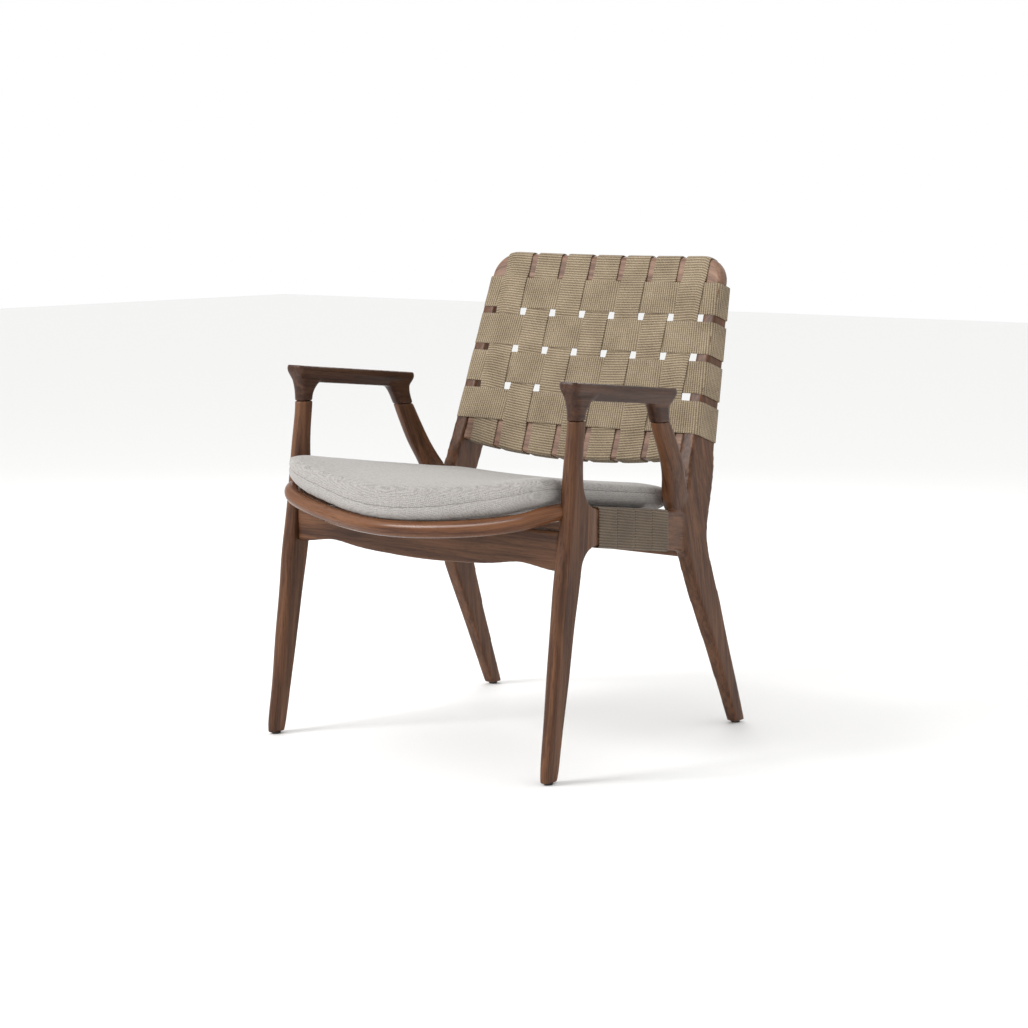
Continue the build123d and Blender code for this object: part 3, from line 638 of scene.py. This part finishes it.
def top_edge(x):
    """Top of the back, which falls away at the round shoulders."""
    flat = post_outside(BACK_TOP, 14) - SHOULDER
    over = min(max(abs(x) - flat, 0), SHOULDER)
    return BACK_TOP - SHOULDER + math.sqrt(SHOULDER ** 2 - over ** 2)


def on_back(x, behind, up):
    """A point of the back in the chair's own frame, in millimetres."""
    return (x, FOOT[0] + up * math.sin(LEAN) + behind * math.cos(LEAN),
            FOOT[1] + up * math.cos(LEAN) - behind * math.sin(LEAN))


def upright_middle(number):
    return (number - (UPRIGHTS - 1) / 2) * UPRIGHT_PITCH


def report_strap(piece, node, axis):
    """Prints how far a strap reaches along an axis, beside its node."""
    print(piece.name, len(piece.data.polygons), "faces, reach",
          round(points_of(piece)[:, axis].max(), 4), "node", round(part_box(node)[1][axis], 4))


# %% Upright straps
def upright_route(number, x):
    """The route of an upright strap at one place across it, as (behind, up, rounding)."""
    low = low_edge(x) - CLEAR
    top = top_edge(x) + CLEAR
    front, rear = LOW_RAIL[0] - CLEAR, LOW_RAIL[1] + CLEAR
    route = [(rear, 0, 0), (rear, low, 5), (front, low, 5), (front, -2, 6)]
    for cross in range(CROSSES):
        swing = -WEAVE if (number + cross) % 2 == 1 else WEAVE
        start = CROSS_LOW + cross * CROSS_PITCH
        route += [(SHEET + swing, start + 3, 9), (SHEET + swing, start + CROSS_WIDE - 3, 9)]
    front, rear = TOP_RAIL[0] - CLEAR, TOP_RAIL[1] + CLEAR
    route += [(front, BACK_TOP - TOP_RAIL[2] + 9, 8), (front, top, 10), (rear, top, 10),
              (rear, BACK_TOP - TOP_RAIL[2] + 6, 0)]
    return [(behind + bow(x), up, r) for behind, up, r in route]


def upright_strap(number):
    def x_at(share):
        return upright_middle(number) + (share - 0.5) * UPRIGHT_WIDE

    return strap("webbing_upright_" + str(number + 1), "back_upright_strap_" + str(number + 1),
                 UPRIGHT_WIDE, lambda share: upright_route(number, x_at(share)),
                 lambda behind, up, share: on_back(x_at(share), behind, up), True)


for number in range(UPRIGHTS):
    report_strap(upright_strap(number), "back_upright_strap_" + str(number + 1), axis=2)

# %% Cross straps
def cross_route(number, up):
    """The route of a cross strap at one height up the slope, as (x, behind, rounding)."""
    deep = post_deep(up) + CLEAR
    outer = post_outside(up, deep) + CLEAR
    half = [(outer - POST_THICK + 3, deep, 0), (outer, deep, 6), (outer, SHEET + WEAVE, 13),
            (outer - POST_THICK - CLEAR, SHEET + WEAVE, 8)]
    route = [(-x, behind, r) for x, behind, r in half]
    for upright in range(UPRIGHTS):
        middle = upright_middle(upright)
        swing = WEAVE if (upright + number) % 2 == 1 else -WEAVE
        for x in (middle - UPRIGHT_WIDE / 2 + 3, middle, middle + UPRIGHT_WIDE / 2 - 3):
            route.append((x, bow(x) + SHEET + swing, 9))
    return route + half[::-1]


def cross_strap(number):
    start = CROSS_LOW + number * CROSS_PITCH
    return strap("webbing_cross_" + str(number + 1), "back_cross_strap_" + str(number + 1),
                 CROSS_WIDE, lambda share: cross_route(number, start + share * CROSS_WIDE),
                 lambda x, behind, share: on_back(x, behind, start + share * CROSS_WIDE), False)


for number in range(CROSSES):
    report_strap(cross_strap(number), "back_cross_strap_" + str(number + 1), axis=0)

# %% [markdown]
# ## The slung seat
#
# Four straps are slung from one side rail to the other and wrapped round each: up the outer
# face, over the top and down into the sag that the cushion lies in. The side rails run inwards
# and down towards the back, so each line of a strap follows the rail's section at its own depth.

# %% Seat straps
RAIL_START, RAIL_LONG = -146.6, 285.0        # y of the rail's front end, and its length
RAIL_THICK = 24.0
RAIL_OUTER, RAIL_TOP, RAIL_LOW = (307.6, 280.0), (433.5, 395.5), (370.5, 327.5)   # both ends
SEAT_STRAPS, SEAT_WIDE, SEAT_PITCH, SEAT_FIRST = 4, 55.3, 56.3, -143.1
SAG, SAG_LOSS = 36.0, 0.033             # sag of the first strap, and its loss per mm rearwards


def on_rail(ends, y):
    """A size of the side rail that changes evenly from its front end to its rear end."""
    return ends[0] + (ends[1] - ends[0]) * (y - RAIL_START) / RAIL_LONG


def seat_route(y):
    """The route of a seat strap at one depth, as (x, z, rounding)."""
    outer = on_rail(RAIL_OUTER, y)
    inner = outer - RAIL_THICK
    top = on_rail(RAIL_TOP, y) + CLEAR
    low = on_rail(RAIL_LOW, y) - CLEAR
    sag = SAG - SAG_LOSS * (y - RAIL_START)
    half = [(inner - CLEAR, low + 22, 0), (inner - CLEAR, low, 3.5), (outer + CLEAR, low, 4.5),
            (outer + CLEAR, top, 5), (inner + 2, top, 10)]
    reach = inner + 2
    sling = [(reach * s, top - sag * (1 - s ** 2), 60)
             for s in (0.8, 0.6, 0.4, 0.2, 0, -0.2, -0.4, -0.6, -0.8)]
    return half + sling + [(-x, z, r) for x, z, r in half[::-1]]


def seat_strap(number):
    front = SEAT_FIRST + number * SEAT_PITCH
    return strap("webbing_seat_" + str(number + 1), "seat_strap_" + str(number + 1), SEAT_WIDE,
                 lambda share: seat_route(front + share * SEAT_WIDE),
                 lambda x, z, share: (x, front + share * SEAT_WIDE, z), True, seat_jute_shaded)


for number in range(SEAT_STRAPS):
    report_strap(seat_strap(number), "seat_strap_" + str(number + 1), axis=0)

# %% [markdown]
# ## The cushion
#
# A loose seat cushion: a top and a bottom panel of heavy linen joined to a boxing strip that
# runs round the edge, over a foam slab that sinks into the slung seat. Foam pushes the cloth
# out everywhere except along the seams, so the panels are crowned and the seams lie in a
# shallow valley. The shape starts as the frame's foam, remeshed, rounded and plumped, and a
# cloth simulation with a little pressure fills it while the seams stay put. No point may travel
# further than a few millimetres, so the cushion stays in the room the frame gives it, and what
# each point travels is evened out with its neighbours, so that the limit leaves no crease.

# %% Linen
THREAD = 3.0 * MM              # real threads are 0.8 mm apart, drawn coarse enough to show


def linen(name, dark, middle, light):
    """Plain-woven linen in mixed warm grey yarns, with slubs along both thread directions."""
    material, tree = new_material(name)
    place = add(tree, "ShaderNodeTexCoord").outputs["Object"]

    def yarn(long_axis):
        """Yarns 1.6 mm wide and 7 mm long, along one axis: finer ones would not show."""
        scale = [1 / (1.6 * MM)] * 3
        scale[long_axis] = 1 / (7 * MM)
        turned = add(tree, "ShaderNodeMapping", {"Vector": place, "Scale": tuple(scale)})
        return add(tree, "ShaderNodeTexNoise",
                   {"Vector": turned.outputs[0], "Scale": 1.0, "Detail": 2.0}).outputs[0]

    weft, warp = yarn(0), yarn(1)
    fuzz = add(tree, "ShaderNodeTexNoise",
               {"Vector": place, "Scale": 1 / (1.3 * MM), "Detail": 2.0}).outputs[0]
    split = add(tree, "ShaderNodeSeparateXYZ", {0: place}).outputs
    waves = [wave(tree, split[i], THREAD) for i in range(3)]
    crossing = [add(tree, "ShaderNodeMath", {0: waves[i], 1: waves[(i + 1) % 3]},
                    operation="MULTIPLY").outputs[0] for i in range(3)]
    weave = weighted(tree, [(product, 1.0) for product in crossing])
    yarns = weighted(tree, [(weft, 1.0), (warp, 1.0), (fuzz, 0.8)])
    mixed = weighted(tree, [(yarns, 1 / 2.8), (weave, 0.10)])
    colour = ramp(tree, mixed, [(0.32, linear(dark)), (0.50, linear(middle)),
                                (0.68, linear(light))])
    bump = add(tree, "ShaderNodeBump",
               {"Height": mixed, "Strength": 0.4, "Distance": 0.6 * MM})
    shader = add(tree, "ShaderNodeBsdfPrincipled",
                 {"Base Color": colour, "Roughness": 0.9, "Normal": bump.outputs[0],
                  "Specular IOR Level": 0.2, "Sheen Weight": 0.25, "Sheen Roughness": 0.5})
    add(tree, "ShaderNodeOutputMaterial", {"Surface": shader.outputs[0]})
    return material


grey_linen = linen("woven_linen_grey", "#7a7672", "#9a9692", "#aeaaa6")
print("cushion finish:", grey_linen.name)

# %% [markdown]
# ### Where the seam runs
#
# The seam that joins the top panel to the boxing is found on the shape itself. From the middle,
# a line is walked outwards until it leaves the cushion; vertical rays just inside that edge
# give the top and bottom, and a level ray at the seam's height gives the point on the skin.
# The seam sits low on the front edge and climbs towards the top along the sides.

# %% Finding the seam
SEAM_POINTS = 480
FRONT_SHARE, SIDE_SHARE = 0.40, 0.66       # height of the seam, as a share of the thickness
EDGE_INSET = 16 * MM                       # the thickness is taken this far inside the edge


def surface_tree(piece):
    graph = bpy.context.evaluated_depsgraph_get()
    return BVHTree.FromObject(piece, graph)


def seam_path(piece):
    """Points and normals of the seam round the cushion, as arrays."""
    skin = surface_tree(piece)
    low, high = points_of(piece).min(0), points_of(piece).max(0)
    centre = Vector(((low[0] + high[0]) / 2, (low[1] + high[1]) / 2, 0))
    up, down = Vector((0, 0, 1)), Vector((0, 0, -1))
    places, normals = [], []
    for step in range(SEAM_POINTS):
        angle = 2 * math.pi * step / SEAM_POINTS
        way = Vector((math.cos(angle), math.sin(angle), 0))
        inside, outside = 0.1, 0.5
        for _ in range(14):
            middle = (inside + outside) / 2
            start = centre + way * middle + up
            if skin.ray_cast(start, down)[0] is None:
                outside = middle
            else:
                inside = middle
        spot = centre + way * (inside - EDGE_INSET)
        top = skin.ray_cast(spot + up, down)[0].z
        bottom = skin.ray_cast(spot - up, up)[0].z
        front = max(-way.y, 0.0) ** 3
        share = SIDE_SHARE + (FRONT_SHARE - SIDE_SHARE) * front
        level = bottom + share * (top - bottom)
        start = centre + way * 0.6
        start.z = level
        place, normal = skin.ray_cast(start, -way)[:2]
        places.append(place)
        normals.append(normal)
    return np.array(places), np.array(normals)


def nearness(piece, places, width):
    """How near each vertex lies to a path: 1 on it, falling to 0 at a few widths away."""
    tree = KDTree(len(places))
    for number, place in enumerate(places):
        tree.insert(place, number)
    tree.balance()
    away = np.array([tree.find(point)[2] for point in points_of(piece)])
    return np.exp(-(away / width) ** 2)


# %% Filling the cushion
def vertex_normals(piece):
    flat = np.zeros(len(piece.data.vertices) * 3, np.float32)
    piece.data.vertices.foreach_get("normal", flat)
    return flat.reshape(-1, 3)


def plump(piece, amount):
    """Moves the skin outwards, but hardly at all underneath, where it rests on the straps."""
    normals, points = vertex_normals(piece), points_of(piece)
    first_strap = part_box("seat_strap_1")[0][1]
    in_front = np.clip((first_strap - points[:, 1]) / (30 * MM), 0, 1)
    least = 0.12 + 0.5 * in_front
    share = np.clip((normals[:, 2] + 0.75) / 0.5, least, 1.0)
    set_points(piece, points + normals * (amount * share)[:, None])


def evened(piece, values, rounds):
    """Averages a value at each vertex with its neighbours', over and over."""
    ends = np.zeros(len(piece.data.edges) * 2, np.int32)
    piece.data.edges.foreach_get("vertices", ends)
    one, other = ends.reshape(-1, 2).T
    count = np.bincount(ends, minlength=len(values))[:, None]
    for _ in range(rounds):
        total = np.zeros_like(values)
        np.add.at(total, one, values[other])
        np.add.at(total, other, values[one])
        values = 0.5 * values + 0.5 * total / count
    return values


CUSHION_VOXEL, CUSHION_ROUNDS = 5 * MM, 26
PLUMP = 4.2 * MM
TRAVEL = 5 * MM                # the furthest that the cloth may swell
SINK = 0.5 * MM                # and the furthest that it may sink into the straps
SIM_FRAMES = 20
EVEN_ROUNDS = 30

cushion = merged_copy("linen_cushion", ["cushion_foam"])
remesh(cushion, CUSHION_VOXEL, CUSHION_ROUNDS)
plump(cushion, PLUMP)
seam, _ = seam_path(cushion)
before = points_of(cushion).copy()

pins = cushion.vertex_groups.new(name="seam")
hold = nearness(cushion, seam, 5 * MM)
for number in np.nonzero(hold > 0.3)[0]:
    pins.add([int(number)], float(hold[number]), "REPLACE")
sim = cushion.modifiers.new("fill", "CLOTH")
sim.settings.use_pressure = True
sim.settings.uniform_pressure_force = 3.0
sim.settings.vertex_group_mass = "seam"
sim.settings.tension_stiffness = 8
sim.settings.compression_stiffness = 8
sim.settings.shear_stiffness = 4
sim.settings.bending_stiffness = 0.6
sim.settings.effector_weights.gravity = 0.0
scene = bpy.context.scene
for step in range(1, SIM_FRAMES + 1):
    scene.frame_set(step)
bake_modifiers(cushion)
scene.frame_set(1)
cushion.vertex_groups.clear()

swell = points_of(cushion) - before
far = np.linalg.norm(swell, axis=1, keepdims=True)
swell *= np.minimum(1.0, TRAVEL / np.maximum(far, 1e-9))
swell[:, 2] = np.where(swell[:, 2] < -SINK, -SINK, swell[:, 2])
set_points(cushion, before + evened(cushion, swell, EVEN_ROUNDS))
print("cloth swelled by", round(float(far.max()) * 1000, 1), "mm at most before the limit")

# %% [markdown]
# ### Seams and stitches
#
# After one subdivision the mesh is fine enough to press the seam in as a narrow valley. The
# stitches in it are a job for Geometry Nodes: the seam path becomes a curve, a short rounded
# stitch is put on it at even steps, turned along the curve, and the instances are made real.

# %% Pressing in the seam
SEAM_WIDE, SEAM_DEEP = 3.2 * MM, 1.6 * MM

finer = cushion.modifiers.new("finer", "SUBSURF")
finer.levels = finer.render_levels = 1
bake_modifiers(cushion)
seam, seam_normals = seam_path(cushion)
press = nearness(cushion, seam, SEAM_WIDE)[:, None] * SEAM_DEEP
set_points(cushion, points_of(cushion) - vertex_normals(cushion) * press)
cushion.data.shade_smooth()
cushion.data.materials.clear()
cushion.data.materials.append(grey_linen)
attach(cushion, "cushion")
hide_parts("cushion_cover", "cushion_foam")
print("cushion", len(cushion.data.polygons), "faces", points_of(cushion).min(0).round(4),
      points_of(cushion).max(0).round(4))

# %% A tree that sews
def small_box(tree, size):
    """A box for the tree to repeat."""
    return add(tree, "GeometryNodeMeshCube", {"Size": size}).outputs[0]


def sewing_tree(name, make_one):
    """Geometry Nodes: one small thing repeated along a curve at even steps."""
    tree = bpy.data.node_groups.new(name, "GeometryNodeTree")
    face = tree.interface
    face.new_socket("Geometry", in_out="INPUT", socket_type="NodeSocketGeometry")
    face.new_socket("Step", in_out="INPUT", socket_type="NodeSocketFloat")
    face.new_socket("Thread", in_out="INPUT", socket_type="NodeSocketMaterial")
    face.new_socket("Geometry", in_out="OUTPUT", socket_type="NodeSocketGeometry")
    given = add(tree, "NodeGroupInput").outputs
    curve = add(tree, "GeometryNodeMeshToCurve", {0: given["Geometry"]})
    dots = add(tree, "GeometryNodeCurveToPoints",
               {"Curve": curve.outputs[0], "Length": given["Step"]}, mode="LENGTH")
    along = add(tree, "FunctionNodeAlignEulerToVector", {"Vector": dots.outputs["Tangent"]},
                axis="X")
    placed = add(tree, "GeometryNodeInstanceOnPoints",
                 {"Points": dots.outputs[0], "Instance": make_one(tree),
                  "Rotation": along.outputs[0]})
    real = add(tree, "GeometryNodeRealizeInstances", {0: placed.outputs[0]})
    painted = add(tree, "GeometryNodeSetMaterial",
                  {"Geometry": real.outputs[0], "Material": given["Thread"]})
    add(tree, "NodeGroupOutput", {0: painted.outputs[0]})
    return tree


def path_object(name, places, closed):
    """A mesh of edges only, for a tree to follow."""
    count = len(places)
    edges = [(i, (i + 1) % count) for i in range(count if closed else count - 1)]
    mesh = bpy.data.meshes.new(name)
    mesh.from_pydata([tuple(p) for p in places], edges, [])
    return linked(name, mesh)


def sewn(name, places, closed, tree, step, material):
    """Makes the tree's result along a path, a plain mesh that rides on the cushion."""
    piece = path_object(name, places, closed)
    sew = piece.modifiers.new("sew", "NODES")
    sew.node_group = tree
    give_inputs(sew, Step=step, Thread=material)
    bake_modifiers(piece)
    piece.data.shade_smooth()
    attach(piece, "cushion")
    print(name, len(piece.data.polygons), "faces")


def thread_finish(name, hex_colour, roughness):
    """Spun thread or moulded nylon: one colour, lightly mottled."""
    material, tree = new_material(name)
    place = add(tree, "ShaderNodeTexCoord").outputs["Object"]
    mottle = add(tree, "ShaderNodeTexNoise", {"Vector": place, "Scale": 1 / (2 * MM)}).outputs[0]
    base = linear(hex_colour)
    colour = ramp(tree, mottle, [(0.3, [c * 0.8 for c in base[:3]] + [1]), (0.7, base)])
    shader = add(tree, "ShaderNodeBsdfPrincipled",
                 {"Base Color": colour, "Roughness": roughness})
    add(tree, "ShaderNodeOutputMaterial", {"Surface": shader.outputs[0]})
    return material


seam_thread = thread_finish("sewing_thread_grey", "#5f5b57", 0.85)
stitch_tree = sewing_tree("seam_stitches",
                          lambda tree: small_box(tree, (3.2 * MM, 0.7 * MM, 0.7 * MM)))
sunk = seam - seam_normals * 1.5 * MM
sewn("seam_stitches", sunk, True, stitch_tree, 4.2 * MM, seam_thread)

# %% [markdown]
# ### The zip
#
# The cover comes off through a zip in the middle of the rear boxing. It is a woven tape with a
# coil of nylon teeth. The tape follows the cushion's skin, and the teeth are repeated along its
# middle by the same kind of tree as the stitches.

# %% Zip
zip_low, zip_high = (Vector(corner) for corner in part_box("cushion_zip"))
zip_level = (zip_low.z + zip_high.z) / 2
ZIP_TAPE = 9 * MM
REARWARD_OF_ALL = 0.6          # metres: a ray that starts here meets the cushion's rear


def on_rear(skin, x, z, proud):
    """The point that far above the cushion's rear, at a place across and up."""
    place, normal = skin.ray_cast(Vector((x, REARWARD_OF_ALL, z)), Vector((0, -1, 0)))[:2]
    return place + normal * proud


def zip_tape(count=60):
    """A strip of tape that lies on the rear boxing."""
    skin = surface_tree(cushion)
    rows = [[on_rear(skin, x, zip_level + share * ZIP_TAPE, 0.5 * MM)
             for x in np.linspace(zip_low.x, zip_high.x, count)]
            for share in (-0.5, -0.25, 0.0, 0.25, 0.5)]
    piece = sheet("zip_tape", rows, False)
    thicken(piece, 0.8 * MM)
    return piece


tape = zip_tape()
tape.data.materials.append(thread_finish("zip_tape_woven", "#6b6762", 0.9))
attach(tape, "cushion")
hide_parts("cushion_zip")

skin = surface_tree(cushion)
coil_line = [on_rear(skin, x, zip_level, 1.2 * MM)
             for x in np.linspace(zip_low.x + 6 * MM, zip_high.x - 6 * MM, 80)]
nylon_teeth = thread_finish("zip_coil_nylon", "#4a4744", 0.4)
teeth_tree = sewing_tree("zip_teeth",
                         lambda tree: small_box(tree, (1.1 * MM, 1.0 * MM, 3.6 * MM)))
sewn("zip_teeth", coil_line, False, teeth_tree, 1.8 * MM, nylon_teeth)

# %% [markdown]
# ## Hardware
#
# Little metal and plastic shows. Galvanised staples hold the ends of the straps, black nylon
# glides keep the feet off the floor, and beech dowels are hidden in the joints. These keep the
# frame's own meshes and get a finish each.

# %% Finishes of the small pieces
def mottled(name, dark, light, grit, roughness, metallic=0.0, bump_strength=0.1):
    """A plain finish with a fine mottle of the given grit in millimetres."""
    material, tree = new_material(name)
    place = add(tree, "ShaderNodeTexCoord").outputs["Object"]
    noise = add(tree, "ShaderNodeTexNoise",
                {"Vector": place, "Scale": 1 / (grit * MM), "Detail": 3.0}).outputs[0]
    colour = ramp(tree, noise, [(0.35, linear(dark)), (0.65, linear(light))])
    rough = add(tree, "ShaderNodeMapRange",
                {"Value": noise, "To Min": roughness - 0.06, "To Max": roughness + 0.06})
    bump = add(tree, "ShaderNodeBump",
               {"Height": noise, "Strength": bump_strength, "Distance": 0.1 * MM})
    shader = add(tree, "ShaderNodeBsdfPrincipled",
                 {"Base Color": colour, "Roughness": rough.outputs[0], "Metallic": metallic,
                  "Normal": bump.outputs[0]})
    add(tree, "ShaderNodeOutputMaterial", {"Surface": shader.outputs[0]})
    return material


finishes = {
    "staples": mottled("galvanised_steel_wire", "#8d9093", "#b9bcbe", 0.8, 0.38, metallic=1.0),
    "glide": mottled("moulded_nylon_black", "#141414", "#1f1f1f", 0.5, 0.5),
    "dowels": mottled("turned_beech", "#a97e52", "#c39a6b", 3.0, 0.6),
}
for name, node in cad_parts.items():
    for word, finish in finishes.items():
        if word in name:
            node.data.materials.clear()
            node.data.materials.append(finish)
print("finished", list(finishes))

# %% [markdown]
# ## Floor, light and camera
#
# A pale floor that runs out of sight, a large soft key light from the chair's front right, a
# weaker one behind it on the same side, and a white surround. The camera is a long lens a
# little above the chair, at its front left quarter, and looks slightly down.

# %% Stage
def pale_floor():
    mesh = bpy.data.meshes.new("floor")
    reach = 12.0
    mesh.from_pydata([(-reach, -reach, 0), (reach, -reach, 0), (reach, reach, 0),
                      (-reach, reach, 0)], [], [(0, 1, 2, 3)])
    floor = linked("floor", mesh)
    material, tree = new_material("pale_floor")
    shader = add(tree, "ShaderNodeBsdfPrincipled",
                 {"Base Color": linear("#f4f4f3"), "Roughness": 0.9, "Specular IOR Level": 0.1})
    add(tree, "ShaderNodeOutputMaterial", {"Surface": shader.outputs[0]})
    mesh.materials.append(material)


def area_light(name, place, aim, size, power):
    """A square soft white light at a place, turned to a point."""
    data = bpy.data.lights.new(name, "AREA")
    data.size = size
    data.energy = power
    light = linked(name, data)
    light.location = place
    light.rotation_euler = (Vector(aim) - Vector(place)).to_track_quat("-Z", "Y").to_euler()


pale_floor()
seat_middle = (0.0, 0.0, 0.45)
area_light("key", (-1.5, -2.6, 2.4), seat_middle, size=1.2, power=78)
area_light("rear", (-1.6, 2.0, 2.2), seat_middle, size=1.6, power=22)
bpy.context.scene.view_settings.view_transform = "Standard"
world = bpy.data.worlds.new("surround")
bpy.context.scene.world = world
world.use_nodes = True
world.node_tree.nodes["Background"].inputs[0].default_value = linear("#ffffff")
world.node_tree.nodes["Background"].inputs[1].default_value = 1.0
print("lights:", [thing.name for thing in bpy.data.lights])

# %% Camera
CAMERA_PLACE = (2.6715, -3.3374, 0.957)
LOOKS_DOWN, TURNED = 7.649, 38.476      # degrees below level, and round from the front

lens = bpy.data.cameras.new("camera")
lens.lens = 87.1
lens.sensor_width = 36.0
camera = linked("camera", lens)
camera.location = CAMERA_PLACE
camera.rotation_euler = (math.radians(90 - LOOKS_DOWN), 0, math.radians(TURNED))
bpy.context.scene.camera = camera
print("camera at", [round(v, 3) for v in camera.location])
